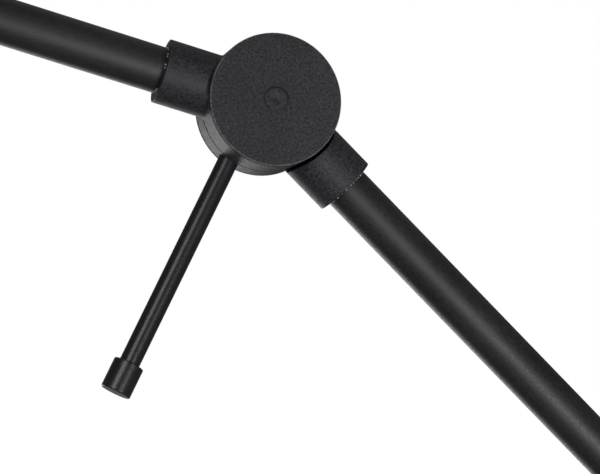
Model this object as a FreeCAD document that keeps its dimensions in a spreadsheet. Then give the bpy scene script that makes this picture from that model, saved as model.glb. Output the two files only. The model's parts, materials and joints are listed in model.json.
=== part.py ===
import FreeCAD, Part
import math
import os

import Sketcher
from FreeCAD import Placement, Rotation, Vector

# Adjustable arm floor lamp, in millimetres: heavy round base, post, two arms joined by drum
# knuckles, and a bell shade. +Z is up, the origin is on the floor under the post's axis, the
# arms lie in the XZ plane and every knuckle turns about a line along Y.

SIZES = {
    # tubes
    "tube_radius": 11.0,
    "tube_wall": 1.5,
    "tube_fit": 0.05,
    # knuckle drum, measured from its middle plane
    "drum_radius": 31.2,
    "drum_half": 16.85,
    "cover_thick": 1.4,
    "cover_seat": 29.7,
    "shadow_gap": 1.2,
    "edge_break": 0.4,
    "rim_chamfer": 0.5,
    "part_gap": 0.15,
    "lip_radius": 28.6,
    "lip_top": 2.4,
    "cup_radius": 27.0,
    "cup_floor": 5.15,
    "swing_gap": 1.75,
    "blend": 1.7,
    # knuckle sockets
    "socket_radius": 15.25,
    "socket_reach": 53.0,
    "socket_offset": 1.6,
    "socket_stop": 33.5,
    "socket_edge": 0.5,
    "lead_hole": 4.5,
    # inside the knuckle
    "hub_radius": 12.0,
    "hub_top": 9.3,
    "washer_thick": 1.0,
    "chamber_radius": 24.0,
    "chamber_top": 10.35,
    "lever_room": 12.9,
    "web_top": 14.4,
    "boss_radius": 10.0,
    "boss_top": 15.2,
    "bolt_radius": 4.0,
    "bolt_fit": 0.05,
    "bolt_head": 7.8,
    "spigot_radius": 26.8,
    "spigot_wall": 2.8,
    "spigot_deep": 0.9,
    # cover's blank centre
    "medal_radius": 5.6,
    "medal_high": 0.7,
    "dimple_radius": 3.2,
    "dimple_deep": 0.4,
    # clamp lever
    "lever_level": 8.6,
    "lever_offset": 4.0,
    "lever_turn": 71.58,
    "lever_radius": 4.85,
    "lever_fit": 0.08,
    "thread_radius": 4.0,
    "thread_start": 19.5,
    "lever_seat": 27.5,
    "lever_tip": 17.6,
    "tip_radius": 3.0,
    "guide_start": 19.0,
    "guide_wide": 16.0,
    "cap_start": 137.0,
    "cap_end": 151.7,
    "cap_radius": 7.25,
    "cap_floor": 3.5,
    "shoe_wide": 14.0,
    "shoe_centre": 3.0,
    "shoe_bottom": 5.2,
    "shoe_top": 11.6,
    # grub screws
    "grub_radius": 2.5,
    "grub_place": 44.0,
    "grub_hex": 1.45,
    # base and post
    "base_radius": 165.0,
    "base_top": 29.0,
    "base_skin": 1.5,
    "base_round": 8.0,
    "base_lift": 1.0,
    "pad_thick": 2.0,
    "pad_radius": 156.0,
    "weight_radius": 157.0,
    "weight_top": 27.4,
    "groove_wide": 10.0,
    "groove_deep": 9.0,
    "lead_way": 6.0,
    "foot_radius": 34.0,
    "foot_thick": 7.0,
    "foot_collar": 15.25,
    "foot_high": 48.0,
    "foot_screw_circle": 24.0,
    "foot_screw": 3.0,
    "foot_screw_head": 6.0,
    "bush_radius": 7.0,
    "bush_hole": 3.6,
    "bush_out": 14.0,
    "bush_level": 10.0,
    "joint_level": 470.0,
    "joiner_long": 60.0,
    "shoulder_high": 950.0,
    # arms
    "lower_arm": 480.0,
    "lower_rise": 44.2,
    "upper_arm": 520.0,
    "upper_rise": 14.9,
    # head, measured down from the head knuckle's axis
    "stem_end": 80.0,
    "neck_start": 64.0,
    "neck_radius": 14.5,
    "cup_shoulder": 92.0,
    "holder_cup_radius": 26.0,
    "holder_cup_wall": 1.6,
    "shade_top": 140.0,
    "switch_start": 94.0,
    "switch_long": 14.0,
    "switch_side": 13.0,
    "spindle_radius": 3.0,
    "knob_radius": 7.0,
    "knob_long": 9.0,
    "holder_start": 112.0,
    "holder_radius": 20.0,
    "holder_bore": 13.6,
    "holder_floor": 6.0,
    "holder_end": 152.0,
    "shade_skin": 1.2,
    "shade_hole": 20.2,
    "shade_crown": 34.0,
    "shade_shoulder": 62.0,
    "shade_mouth": 115.0,
    "shade_long": 152.0,
    "crown_round": 40.0,
    "shade_bend": 36.0,
    "shade_flare": 210.0,
    "bead_radius": 2.2,
    "ring_radius": 25.0,
    "ring_thick": 6.0,
    "lamp_base_radius": 13.2,
    "lamp_base_long": 26.0,
    "bulb_neck": 13.1,
    "bulb_radius": 30.0,
    "bulb_long": 84.0,
}

FRONT = Vector(0, -1, 0)
BACK = Vector(0, 1, 0)
FULL_TURN = 360
OPEN_END = 60.0
NODES = []


class Size:
    """A length with its number and the sheet expression that it comes from."""

    def __init__(self, number, text):
        self.number = float(number)
        self.text = text

    def __add__(self, other):
        other = sized(other)
        return Size(self.number + other.number, f"({self.text} + {other.text})")

    def __sub__(self, other):
        other = sized(other)
        return Size(self.number - other.number, f"({self.text} - {other.text})")

    def __mul__(self, other):
        other = sized(other)
        return Size(self.number * other.number, f"({self.text} * {other.text})")

    def __neg__(self):
        return Size(-self.number, f"(-{self.text})")


def sized(value):
    """A plain number as a Size."""
    return value if isinstance(value, Size) else Size(value, repr(float(value)))


def dim(alias):
    """The Size of one cell of the sheet."""
    return Size(SIZES[alias], f"Sizes.{alias}")


def make_sheet(doc):
    sheet = doc.addObject("Spreadsheet::Sheet", "Sizes")
    for row, (alias, number) in enumerate(SIZES.items(), 1):
        sheet.set(f"A{row}", alias)
        sheet.set(f"B{row}", repr(number))
        sheet.setAlias(f"B{row}", alias)
    doc.recompute()


def bind(thing, name, value):
    """Sets a property and ties it to the sheet."""
    value = sized(value)
    if not name.startswith("."):
        setattr(thing, name, value.number)
    thing.setExpression(name, value.text)


def keep(thing, label, place=None):
    """Names a finished sub-part, puts it in its place and lists it for writing."""
    thing.Label = label
    if place is not None:
        thing.Placement = place
    NODES.append(thing)
    return thing


# Sketches and features of a body


def new_sketch(body, name, role):
    sketch = body.newObject("Sketcher::SketchObject", name)
    plane = next(item for item in body.Origin.OriginFeatures if item.Role == role)
    sketch.AttachmentSupport = (plane, [""])
    sketch.MapMode = "FlatFace"
    return sketch


def fix_point(sketch, shape, end, across, up):
    """Ties one point of a sketch to the sheet, by its distances from the sketch's origin."""
    for kind, value in (("DistanceX", sized(across)), ("DistanceY", sized(up))):
        index = sketch.addConstraint(
            Sketcher.Constraint(kind, -1, 1, shape, end, value.number)
        )
        sketch.setExpression(f"Constraints[{index}]", value.text)


def add_circle(sketch, across, up, radius):
    centre = Vector(sized(across).number, sized(up).number, 0)
    radius = sized(radius)
    shape = sketch.addGeometry(
        Part.Circle(centre, Vector(0, 0, 1), radius.number), False
    )
    index = sketch.addConstraint(Sketcher.Constraint("Radius", shape, radius.number))
    sketch.setExpression(f"Constraints[{index}]", radius.text)
    fix_point(sketch, shape, 3, across, up)


def bulged_arc(start, end, radius):
    """Arc bulging to the left of the line from start to end, or right if radius is negative."""
    chord = end - start
    left = Vector(-chord.y, chord.x, 0).normalize()
    inset = math.sqrt(radius * radius - (chord.Length / 2) ** 2)
    centre = start + chord * 0.5 - left * math.copysign(inset, radius)
    first, last = (end, start) if radius > 0 else (start, end)
    turns = [math.atan2(spot.y - centre.y, spot.x - centre.x) for spot in (first, last)]
    return Part.ArcOfCircle(Part.Circle(centre, Vector(0, 0, 1), abs(radius)), *turns)


def add_outline(sketch, corners, rounds=None):
    """Closed outline through the corners; rounds gives the radius of each side that is an arc."""
    rounds = rounds or {}
    spots = [Vector(sized(x).number, sized(y).number, 0) for x, y in corners]
    count = len(spots)
    ends = []
    for index, spot in enumerate(spots):
        after = spots[(index + 1) % count]
        if index in rounds:
            radius = sized(rounds[index]).number
            sketch.addGeometry(bulged_arc(spot, after, radius), False)
            ends.append((2, 1) if radius > 0 else (1, 2))
        else:
            sketch.addGeometry(Part.LineSegment(spot, after), False)
            ends.append((1, 2))
    for index in range(count):
        after = (index + 1) % count
        joint = Sketcher.Constraint(
            "Coincident", index, ends[index][1], after, ends[after][0]
        )
        sketch.addConstraint(joint)
    for index, (across, up) in enumerate(corners):
        fix_point(sketch, index, ends[index][0], across, up)
    for index, radius in rounds.items():
        length = abs(sized(radius).number)
        held = sketch.addConstraint(Sketcher.Constraint("Radius", index, length))
        sketch.setExpression(f"Constraints[{held}]", f"abs({sized(radius).text})")


def revolve(body, name, corners, rounds=None, kind="PartDesign::Revolution"):
    """Turns an outline of (radius, level) corners about the body's Z axis."""
    sketch = new_sketch(body, f"{name}_sketch", "XZ_Plane")
    add_outline(sketch, corners, rounds)
    feature = body.newObject(kind, name)
    feature.Profile = sketch
    feature.ReferenceAxis = (sketch, ["V_Axis"])
    feature.Angle = FULL_TURN
    return feature


def groove(body, name, corners):
    return revolve(body, name, corners, kind="PartDesign::Groove")


def extrude(body, name, sketch, length, kind="PartDesign::Pad", reverse=False):
    feature = body.newObject(kind, name)
    feature.Profile = sketch
    bind(feature, "Length", length)
    feature.Reversed = reverse
    return feature


def pocket(body, name, sketch, length, reverse=False):
    return extrude(body, name, sketch, length, "PartDesign::Pocket", reverse)


def new_body(doc, name):
    return doc.addObject("PartDesign::Body", name)


# Part primitives


def cylinder(doc, name, radius, height, place=None):
    shape = doc.addObject("Part::Cylinder", name)
    bind(shape, "Radius", radius)
    bind(shape, "Height", height)
    shape.Placement = place or Placement()
    return shape


def hexagon(doc, name, radius, height, place=None):
    shape = doc.addObject("Part::Prism", name)
    shape.Polygon = 6
    bind(shape, "Circumradius", radius)
    bind(shape, "Height", height)
    shape.Placement = place or Placement()
    return shape


def block(doc, name, sides, place):
    shape = doc.addObject("Part::Box", name)
    for side, length in zip(("Length", "Width", "Height"), sides):
        bind(shape, side, length)
    shape.Placement = place
    return shape


def cut(doc, name, base, tool):
    shape = doc.addObject("Part::Cut", name)
    shape.Base = base
    shape.Tool = tool
    return shape


def group(doc, name, members):
    shape = doc.addObject("Part::Compound", name)
    shape.Links = members
    return shape


def ring(doc, name, outer, inner, height, place):
    """A tube or washer standing on the XY plane of its place."""
    body = new_body(doc, name)
    revolve(body, f"{name}_turned", [(inner, 0), (outer, 0), (outer, height), (inner, height)])
    return keep(body, name, place)


# Directions and places


def heading(degrees):
    """Unit direction in the arms' plane, counted from +X towards +Z."""
    turn = math.radians(degrees)
    return Vector(math.cos(turn), 0, math.sin(turn))


def standing(spot, direction):
    """Place at a spot with its local Z along a direction."""
    return Placement(spot, Rotation(Vector(0, 0, 1), direction))


def framed(spot, along, axis):
    """Place at a spot with its local X along one direction and its local Z along another."""
    return Placement(spot, Rotation(along, axis.cross(along), axis, "ZXY"))


# The knuckle's castings


def wall_blend_edges(feature):
    """Names of the edges where the socket's cylinder meets the drum's."""
    drum, socket = SIZES["drum_radius"], SIZES["socket_radius"]
    names = []
    for index, edge in enumerate(feature.Shape.Edges, 1):
        spots = edge.discretize(9)
        on_drum = all(abs(math.hypot(p.x, p.y) - drum) < 0.01 for p in spots)
        bends = max(p.z for p in spots) - min(p.z for p in spots) > socket
        if on_drum and bends and min(p.x for p in spots) > 0 and len(edge.Vertexes) < 3:
            if max(abs(p.y) for p in spots) > 1:
                names.append(f"Edge{index}")
    return names


def cast_half(doc, name, side):
    """Drum with its socket, trimmed to one half; side is 1 above the middle plane, -1 below."""
    body = new_body(doc, name)
    drum, socket = dim("drum_radius"), dim("socket_radius")
    level = dim("socket_offset") * side
    revolve(
        body,
        f"{name}_drum",
        [(0, -OPEN_END), (drum, -OPEN_END), (drum, OPEN_END), (0, OPEN_END)],
    )
    sketch = new_sketch(body, f"{name}_socket_sketch", "YZ_Plane")
    add_circle(sketch, 0, level, socket)
    joined = extrude(body, f"{name}_socket", sketch, dim("socket_reach"))
    doc.recompute()
    blend = body.newObject("PartDesign::Fillet", f"{name}_blend")
    blend.Base = (joined, wall_blend_edges(joined))
    bind(blend, "Radius", dim("blend"))
    doc.recompute()
    trim_half(body, name, side)
    return body


def trim_half(body, name, side):
    """Cuts away what lies past the half's two end faces, with room for the other half to swing.

    The lower half's rim stands up as a lip, and the upper half has the rebate that it fits in.
    """
    drum, open_end = dim("drum_radius"), sized(OPEN_END) * side
    swing = drum + dim("swing_gap")
    gap, edge = dim("part_gap"), dim("edge_break")
    lip_wall = dim("lip_radius") if side < 0 else dim("lip_radius") - gap * 2
    lip_face = dim("lip_top") + gap * side
    seat = dim("drum_half") - dim("cover_thick")
    rim = seat - dim("shadow_gap")
    groove(
        body,
        f"{name}_parting",
        [
            (0, gap * side),
            (lip_wall, gap * side),
            (lip_wall, lip_face),
            (drum - edge, lip_face),
            (drum, lip_face + edge * side),
            (swing, lip_face + edge * side),
            (swing, -open_end),
            (0, -open_end),
        ],
    )
    groove(
        body,
        f"{name}_seat",
        [
            (0, seat * side),
            (dim("cover_seat"), seat * side),
            (dim("cover_seat"), rim * side),
            (swing, rim * side),
            (swing, open_end),
            (0, open_end),
        ],
    )


def bore_socket(body, name, side, grub_side):
    """Tube bore, lead hole into the drum and the grub screw's hole."""
    level = dim("socket_offset") * side
    bore = new_sketch(body, f"{name}_bore_sketch", "YZ_Plane")
    bind(bore, ".AttachmentOffset.Base.z", dim("socket_reach"))
    add_circle(bore, 0, level, dim("tube_radius") + dim("tube_fit"))
    pocket(body, f"{name}_bore", bore, dim("socket_reach") - dim("socket_stop"))
    lead = new_sketch(body, f"{name}_lead_sketch", "YZ_Plane")
    bind(lead, ".AttachmentOffset.Base.z", dim("socket_stop"))
    lead_level = level + (dim("lead_hole") + 1) * side
    add_circle(lead, 0, lead_level, dim("lead_hole"))
    pocket(body, f"{name}_lead", lead, dim("socket_stop") - dim("cup_radius") + 4)
    grub = new_sketch(body, f"{name}_grub_sketch", "XY_Plane")
    bind(grub, ".AttachmentOffset.Base.z", level)
    add_circle(grub, dim("grub_place"), 0, dim("grub_radius") + dim("tube_fit"))
    pocket(body, f"{name}_grub", grub, dim("socket_radius") + 1, reverse=grub_side > 0)


def end_round(doc, body, name):
    """Breaks the sharp edge round the socket's open end."""
    doc.recompute()
    base = body.Tip
    reach, radius = SIZES["socket_reach"], SIZES["socket_radius"]
    names = []
    for index, edge in enumerate(base.Shape.Edges, 1):
        spots = edge.discretize(5)
        if all(abs(p.x - reach) < 0.01 for p in spots):
            if abs(edge.Curve.Radius - radius) < 0.01:
                names.append(f"Edge{index}")
    rounded = body.newObject("PartDesign::Fillet", f"{name}_end_round")
    rounded.Base = (base, names)
    bind(rounded, "Radius", dim("socket_edge"))


def hub_half(doc, name, place, grub_side):
    """The half that carries the hub and the friction faces."""
    body = cast_half(doc, name, -1)
    floor = -dim("cup_floor")
    seat = -(dim("drum_half") - dim("cover_thick"))
    shaft = dim("bolt_radius") + dim("bolt_fit")
    cup = dim("cup_radius")
    groove(body, f"{name}_cup", [(0, seat), (cup, seat), (cup, floor), (0, floor)])
    hub = dim("hub_radius")
    top = dim("hub_top")
    revolve(body, f"{name}_hub", [(0, floor), (hub, floor), (hub, top), (0, top)])
    groove(
        body,
        f"{name}_shaft_hole",
        [(0, floor), (shaft, floor), (shaft, top), (0, top)],
    )
    way = new_sketch(body, f"{name}_way_sketch", "XY_Plane")
    add_circle(way, 0, dim("hub_radius") + dim("lead_way"), dim("lead_hole") - 1)
    pocket(body, f"{name}_way", way, dim("cup_floor") + 1)
    bore_socket(body, name, -1, grub_side)
    end_round(doc, body, name)
    return keep(body, name, place)


def clamp_half(doc, name, place, grub_side, has_lever):
    """The half that turns about the hub, and holds the clamp lever where there is one."""
    body = cast_half(doc, name, 1)
    start = dim("part_gap")
    top = dim("chamber_top")
    seat = dim("drum_half") - dim("cover_thick")
    web = dim("web_top")
    boss, boss_top = dim("boss_radius"), dim("boss_top")
    chamber, cup = dim("chamber_radius"), dim("cup_radius")
    hub, room = dim("hub_radius"), dim("lever_room")
    groove(
        body,
        f"{name}_chamber",
        [(0, start), (chamber, start), (chamber, room), (hub, room), (hub, top), (0, top)],
    )
    groove(
        body,
        f"{name}_recess",
        [
            (0, boss_top),
            (boss, boss_top),
            (boss, web),
            (cup, web),
            (cup, seat),
            (0, seat),
        ],
    )
    shaft = dim("bolt_radius") + dim("tube_fit")
    head = dim("bolt_head") + dim("tube_fit")
    sink = boss_top - (head - shaft)
    groove(
        body,
        f"{name}_shaft_hole",
        [(0, top), (shaft, top), (shaft, sink), (head, boss_top), (0, boss_top)],
    )
    if has_lever:
        lever_bore(body, name)
    bore_socket(body, name, 1, grub_side)
    end_round(doc, body, name)
    return keep(body, name, place)


def turned_sketch(body, name, distance):
    """Sketch square to the lever, at a distance from the drum's axis."""
    sketch = new_sketch(body, name, "YZ_Plane")
    turn = SIZES["lever_turn"]
    sketch.AttachmentOffset = Placement(Vector(), Rotation(Vector(0, 1, 0), turn))
    distance = sized(distance)
    bind(sketch, ".AttachmentOffset.Base.x", Size(0, f"{distance.text} * sin(Sizes.lever_turn)"))
    bind(sketch, ".AttachmentOffset.Base.z", Size(0, f"{distance.text} * cos(Sizes.lever_turn)"))
    bind(sketch, ".AttachmentOffset.Rotation.Angle", dim("lever_turn"))
    return sketch


def lever_bore(body, name):
    """Guide block in the chamber, threaded bore through the wall and the rod's seat."""
    offset, level = dim("lever_offset"), dim("lever_level")
    low, high = dim("lip_top") + dim("part_gap") + dim("edge_break"), dim("lever_room")
    left, right = offset - dim("guide_wide") * 0.5, offset + dim("guide_wide") * 0.5
    guide = turned_sketch(body, f"{name}_guide_sketch", dim("guide_start"))
    add_outline(guide, [(left, low), (right, low), (right, high), (left, high)])
    extrude(body, f"{name}_guide", guide, dim("lever_seat") - dim("guide_start"))
    bore = turned_sketch(body, f"{name}_thread_sketch", 0)
    add_circle(bore, offset, level, dim("thread_radius") + dim("bolt_fit"))
    pocket(body, f"{name}_thread", bore, dim("drum_radius") + 4, reverse=True)
    seat = turned_sketch(body, f"{name}_lever_seat_sketch", dim("lever_seat"))
    add_circle(seat, offset, level, dim("lever_radius") + dim("lever_fit"))
    pocket(body, f"{name}_lever_seat", seat, dim("swing_gap") + 8, reverse=True)


# The knuckle's small pieces


def cover(doc, name, place):
    """Flat cover with a chamfered rim, a spigot behind it and a blank centre."""
    body = new_body(doc, name)
    rim, edge = dim("drum_radius"), dim("rim_chamfer")
    thick = dim("cover_thick")
    medal, high = dim("medal_radius"), dim("medal_high")
    outer = dim("spigot_radius")
    inner = outer - dim("spigot_wall")
    revolve(
        body,
        f"{name}_disc",
        [
            (0, 0),
            (inner, 0),
            (inner, -dim("spigot_deep")),
            (outer, -dim("spigot_deep")),
            (outer, 0),
            (rim - edge * 0.5, 0),
            (rim, edge * 0.5),
            (rim, thick - edge),
            (rim - edge, thick),
            (medal + high * 0.5, thick),
            (medal, thick + high * 0.5),
            (medal - high * 0.5, thick + high),
            (dim("dimple_radius"), thick + high),
            (0, thick + high - dim("dimple_deep")),
        ],
    )
    return keep(body, name, place)


def pivot_bolt(doc, name, place):
    """Countersunk bolt through the web, the hub and the spring washers."""
    body = new_body(doc, f"{name}_turned")
    shaft, head, top = dim("bolt_radius"), dim("bolt_head"), dim("boss_top")
    revolve(
        body,
        f"{name}_shank",
        [
            (0, -(dim("drum_half") - dim("cover_thick") - 1)),
            (shaft, -(dim("drum_half") - dim("cover_thick") - 1)),
            (shaft, top - (head - shaft)),
            (head, top),
            (0, top),
        ],
    )
    lift = Placement(Vector(0, 0, SIZES["boss_top"] - 3.2), Rotation())
    drive = hexagon(doc, f"{name}_drive", dim("grub_radius"), 4, lift)
    return keep(cut(doc, name, body, drive), name, place)


def lock_nut(doc, name, place):
    """Thin hexagon nut on the bolt's end, in the hub half's cup."""
    height = 4.6
    lowest = Placement(Vector(0, 0, -12.6), Rotation())
    outer = hexagon(doc, f"{name}_hexagon", dim("bolt_head"), height, lowest)
    hole = cylinder(doc, f"{name}_hole", dim("bolt_radius") + dim("tube_fit"), height, lowest)
    return keep(cut(doc, name, outer, hole), name, place)


def spring_washers(doc, name, place):
    """Two dished washers, back to back, between the nut and the hub half's floor."""
    rim, hole = dim("hub_radius") - 2, dim("bolt_radius") + 0.2
    dish, skin = 0.4, 0.7
    members = []
    for number, (outer_level, inner_level) in enumerate(((-6.0, -6.0 - dish), (-7.2, -7.2 + dish))):
        washer = new_body(doc, f"{name}_{number + 1}")
        revolve(
            washer,
            f"{name}_{number + 1}_dish",
            [
                (hole, inner_level),
                (rim, outer_level),
                (rim, outer_level + skin * 0.8),
                (hole, inner_level + skin * 0.8),
            ],
        )
        members.append(washer)
    return keep(group(doc, name, members), name, place)


def friction_washer(doc, name, place):
    inner = dim("bolt_radius") + 0.3
    raised = place.multiply(Placement(Vector(0, 0, SIZES["hub_top"]), Rotation()))
    return ring(doc, name, dim("hub_radius"), inner, dim("washer_thick"), raised)


def lever_frame(place):
    """Place of the lever's own axis: local Z runs out along the rod."""
    turn = math.radians(SIZES["lever_turn"])
    out = Vector(math.cos(turn), math.sin(turn), 0)
    aside = Vector(-math.sin(turn), math.cos(turn), 0)
    spot = aside * SIZES["lever_offset"] + Vector(0, 0, SIZES["lever_level"])
    local = Placement(spot, Rotation(aside, out.cross(aside), out, "ZXY"))
    return place.multiply(local)


def lever_rod(doc, name, place):
    """Straight rod with a threaded inner end and a plain swivel tip."""
    body = new_body(doc, name)
    rod, thread, tip = dim("lever_radius"), dim("thread_radius"), dim("tip_radius")
    seat = dim("lever_seat") + 0.2
    end = dim("cap_end") - dim("cap_floor")
    revolve(
        body,
        f"{name}_turned",
        [
            (0, dim("lever_tip")),
            (tip, dim("lever_tip")),
            (tip, dim("thread_start")),
            (thread, dim("thread_start") + 1),
            (thread, seat),
            (rod, seat),
            (rod, end),
            (0, end),
        ],
    )
    return keep(body, name, lever_frame(place))


def lever_cap(doc, name, place):
    """Plain cylindrical grip pressed over the rod's outer end."""
    body = new_body(doc, name)
    rod, grip, edge = dim("lever_radius"), dim("cap_radius"), dim("edge_break")
    start, end = dim("cap_start"), dim("cap_end")
    floor = end - dim("cap_floor")
    revolve(
        body,
        f"{name}_turned",
        [
            (rod, start),
            (grip - edge, start),
            (grip, start + edge),
            (grip, end - edge),
            (grip - edge, end),
            (0, end),
            (0, floor),
            (rod, floor),
        ],
    )
    return keep(body, name, lever_frame(place))


def brake_shoe(doc, name, place):
    """Block with a hollow face that the lever's tip presses on the hub."""
    turn = SIZES["lever_turn"]
    wide = SIZES["shoe_wide"]
    low = Vector(8.0, SIZES["shoe_centre"] - wide / 2, SIZES["shoe_bottom"])
    swung = Placement(Vector(), Rotation(Vector(0, 0, 1), turn))
    corner = swung.multiply(Placement(low, Rotation()))
    blank = block(
        doc,
        f"{name}_blank",
        (dim("lever_tip") - 8.0, dim("shoe_wide"), dim("shoe_top") - dim("shoe_bottom")),
        corner,
    )
    face = cylinder(doc, f"{name}_face", dim("hub_radius") + dim("bolt_fit"), dim("drum_half"))
    return keep(cut(doc, name, blank, face), name, place)


def grub_screw(doc, name, place, side, grub_side):
    """Socket grub screw in the knuckle's socket, bearing on the tube."""
    long = SIZES["socket_radius"] - SIZES["tube_radius"] - 0.4
    level = SIZES["socket_offset"] * side + grub_side * SIZES["tube_radius"]
    spot = Vector(SIZES["grub_place"], 0, level)
    local = standing(spot, Vector(0, 0, grub_side))
    shank = cylinder(doc, f"{name}_shank", dim("grub_radius"), sized(long))
    lift = Placement(Vector(0, 0, long - 2), Rotation())
    drive = hexagon(doc, f"{name}_drive", dim("grub_hex"), 3, lift)
    return keep(cut(doc, name, shank, drive), name, place.multiply(local))


def knuckle(doc, name, centre, axis, hub_heading, clamp_heading, has_lever):
    """One drum joint. Its axis points from the hub half to the clamp half."""
    hub_place = framed(centre, heading(hub_heading), axis)
    clamp_place = framed(centre, heading(clamp_heading), axis)
    hub_side, clamp_side = ("front", "rear") if axis.y > 0 else ("rear", "front")
    grub_side = 1 if axis.y > 0 else -1
    hub_half(doc, f"{name}_{hub_side}_half", hub_place, grub_side)
    clamp_half(doc, f"{name}_{clamp_side}_half", clamp_place, grub_side, has_lever)
    seat = SIZES["drum_half"] - SIZES["cover_thick"]
    hub_seat = hub_place.multiply(standing(Vector(0, 0, -seat), Vector(0, 0, -1)))
    clamp_seat = clamp_place.multiply(standing(Vector(0, 0, seat), Vector(0, 0, 1)))
    cover(doc, f"{name}_{hub_side}_cover", hub_seat)
    cover(doc, f"{name}_{clamp_side}_cover", clamp_seat)
    pivot_bolt(doc, f"{name}_pivot_bolt", clamp_place)
    lock_nut(doc, f"{name}_lock_nut", clamp_place)
    spring_washers(doc, f"{name}_spring_washers", clamp_place)
    friction_washer(doc, f"{name}_friction_washer", hub_place)
    grub_screw(doc, f"{name}_{hub_side}_grub_screw", hub_place, -1, grub_side)
    grub_screw(doc, f"{name}_{clamp_side}_grub_screw", clamp_place, 1, grub_side)
    if has_lever:
        brake_shoe(doc, f"{name}_brake_shoe", clamp_place)
        lever_rod(doc, f"{name}_lever_rod", clamp_place)
        lever_cap(doc, f"{name}_lever_cap", clamp_place)


# Base, post and arms


def round_tube(doc, name, start, end):
    """Steel tube between two points of its axis."""
    run = end - start
    inner = dim("tube_radius") - dim("tube_wall")
    tube = ring(doc, name, dim("tube_radius"), inner, run.Length, standing(start, run))
    return tube


def base_pad(doc):
    return keep(
        cylinder(doc, "base_pad", dim("pad_radius"), dim("pad_thick")), "base_pad"
    )


def foot_screw_spots():
    """Places of the foot's screws round the post."""
    circle = SIZES["foot_screw_circle"]
    turns = [math.radians(30 + 120 * number) for number in range(3)]
    return [Vector(circle * math.cos(turn), circle * math.sin(turn), 0) for turn in turns]


def base_weight(doc):
    """Cast disc with a lead groove to the back and holes for the foot's screws."""
    body = new_body(doc, "base_weight")
    low, top = dim("pad_thick"), dim("weight_top")
    rim = dim("weight_radius")
    revolve(
        body,
        "base_weight_disc",
        [(0, low), (rim - 2, low), (rim, low + 2), (rim, top - 6), (rim - 6, top), (0, top)],
        {3: -6},
    )
    lead = new_sketch(body, "base_weight_lead_sketch", "XY_Plane")
    bind(lead, ".AttachmentOffset.Base.z", top)
    add_circle(lead, 0, 0, dim("lead_way"))
    pocket(body, "base_weight_lead", lead, top)
    slot = new_sketch(body, "base_weight_slot_sketch", "XY_Plane")
    bind(slot, ".AttachmentOffset.Base.z", low + dim("groove_deep"))
    half = dim("groove_wide") * 0.5
    add_outline(slot, [(-half, 0), (half, 0), (half, rim + 1), (-half, rim + 1)])
    pocket(body, "base_weight_slot", slot, dim("groove_deep") + 1)
    for number, spot in enumerate(foot_screw_spots(), 1):
        hole = new_sketch(body, f"base_weight_hole_{number}_sketch", "XY_Plane")
        bind(hole, ".AttachmentOffset.Base.z", top)
        add_circle(hole, spot.x, spot.y, dim("foot_screw") + 0.2)
        pocket(body, f"base_weight_hole_{number}", hole, top)
        sink = new_sketch(body, f"base_weight_sink_{number}_sketch", "XY_Plane")
        bind(sink, ".AttachmentOffset.Base.z", low + 5)
        add_circle(sink, spot.x, spot.y, dim("foot_screw_head") + 0.3)
        pocket(body, f"base_weight_sink_{number}", sink, 6)
    return keep(body, "base_weight")


def base_cover(doc):
    """Spun steel cover over the weight, with a rounded shoulder and a hole for the lead bush."""
    body = new_body(doc, "base_cover")
    rim, top, skin = dim("base_radius"), dim("base_top"), dim("base_skin")
    round_out, low = dim("base_round"), dim("base_lift")
    round_in = round_out - skin
    revolve(
        body,
        "base_cover_spun",
        [
            (dim("lead_way"), top - skin),
            (rim - round_out, top - skin),
            (rim - skin, top - round_out),
            (rim - skin, low),
            (rim, low),
            (rim, top - round_out),
            (rim - round_out, top),
            (dim("lead_way"), top),
        ],
        {1: round_in, 5: -round_out},
    )
    hole = new_sketch(body, "base_cover_lead_sketch", "XZ_Plane")
    add_circle(hole, 0, dim("bush_level"), dim("bush_radius") - 1.5)
    pocket(body, "base_cover_lead", hole, rim + 5, reverse=False)
    for number, spot in enumerate(foot_screw_spots(), 1):
        sketch = new_sketch(body, f"base_cover_hole_{number}_sketch", "XY_Plane")
        bind(sketch, ".AttachmentOffset.Base.z", top)
        add_circle(sketch, spot.x, spot.y, dim("foot_screw") + 0.2)
        pocket(body, f"base_cover_hole_{number}", sketch, skin * 2)
    return keep(body, "base_cover")


def base_lead_bush(doc):
    """Tapered bush where a lead would enter the back of the base."""
    body = new_body(doc, "base_lead_bush")
    outer, hole, out = dim("bush_radius"), dim("bush_hole"), dim("bush_out")
    neck = outer - 1.6
    wall = dim("base_skin")
    revolve(
        body,
        "base_lead_bush_turned",
        [
            (hole, -wall - 4),
            (outer, -wall - 4),
            (outer, -wall - 0.2),
            (neck, -wall - 0.2),
            (neck, 0.2),
            (outer, 0.2),
            (outer, 3),
            (neck, out),
            (hole, out),
        ],
    )
    spot = Vector(0, SIZES["base_radius"], SIZES["bush_level"])
    return keep(body, "base_lead_bush", standing(spot, BACK))


def post_foot(doc):
    """Flange with a collar that takes the post."""
    body = new_body(doc, "post_foot")
    base, thick = dim("base_top"), dim("foot_thick")
    wide, collar, high = dim("foot_radius"), dim("foot_collar"), dim("foot_high")
    hole, lead = dim("tube_radius") + dim("tube_fit"), dim("lead_way")
    edge = dim("rim_chamfer")
    revolve(
        body,
        "post_foot_turned",
        [
            (lead, base),
            (wide, base),
            (wide, base + thick - 2),
            (wide - 2, base + thick),
            (collar + 3, base + thick),
            (collar, base + thick + 3),
            (collar, base + high - edge),
            (collar - edge, base + high),
            (hole, base + high),
            (hole, base + thick),
            (lead, base + thick),
        ],
        {2: -2, 4: 3},
    )
    for number, spot in enumerate(foot_screw_spots(), 1):
        sketch = new_sketch(body, f"post_foot_hole_{number}_sketch", "XY_Plane")
        bind(sketch, ".AttachmentOffset.Base.z", base)
        add_circle(sketch, spot.x, spot.y, dim("foot_screw") + dim("tube_fit"))
        pocket(body, f"post_foot_hole_{number}", sketch, thick - 1.5, reverse=True)
    return keep(body, "post_foot")


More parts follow.
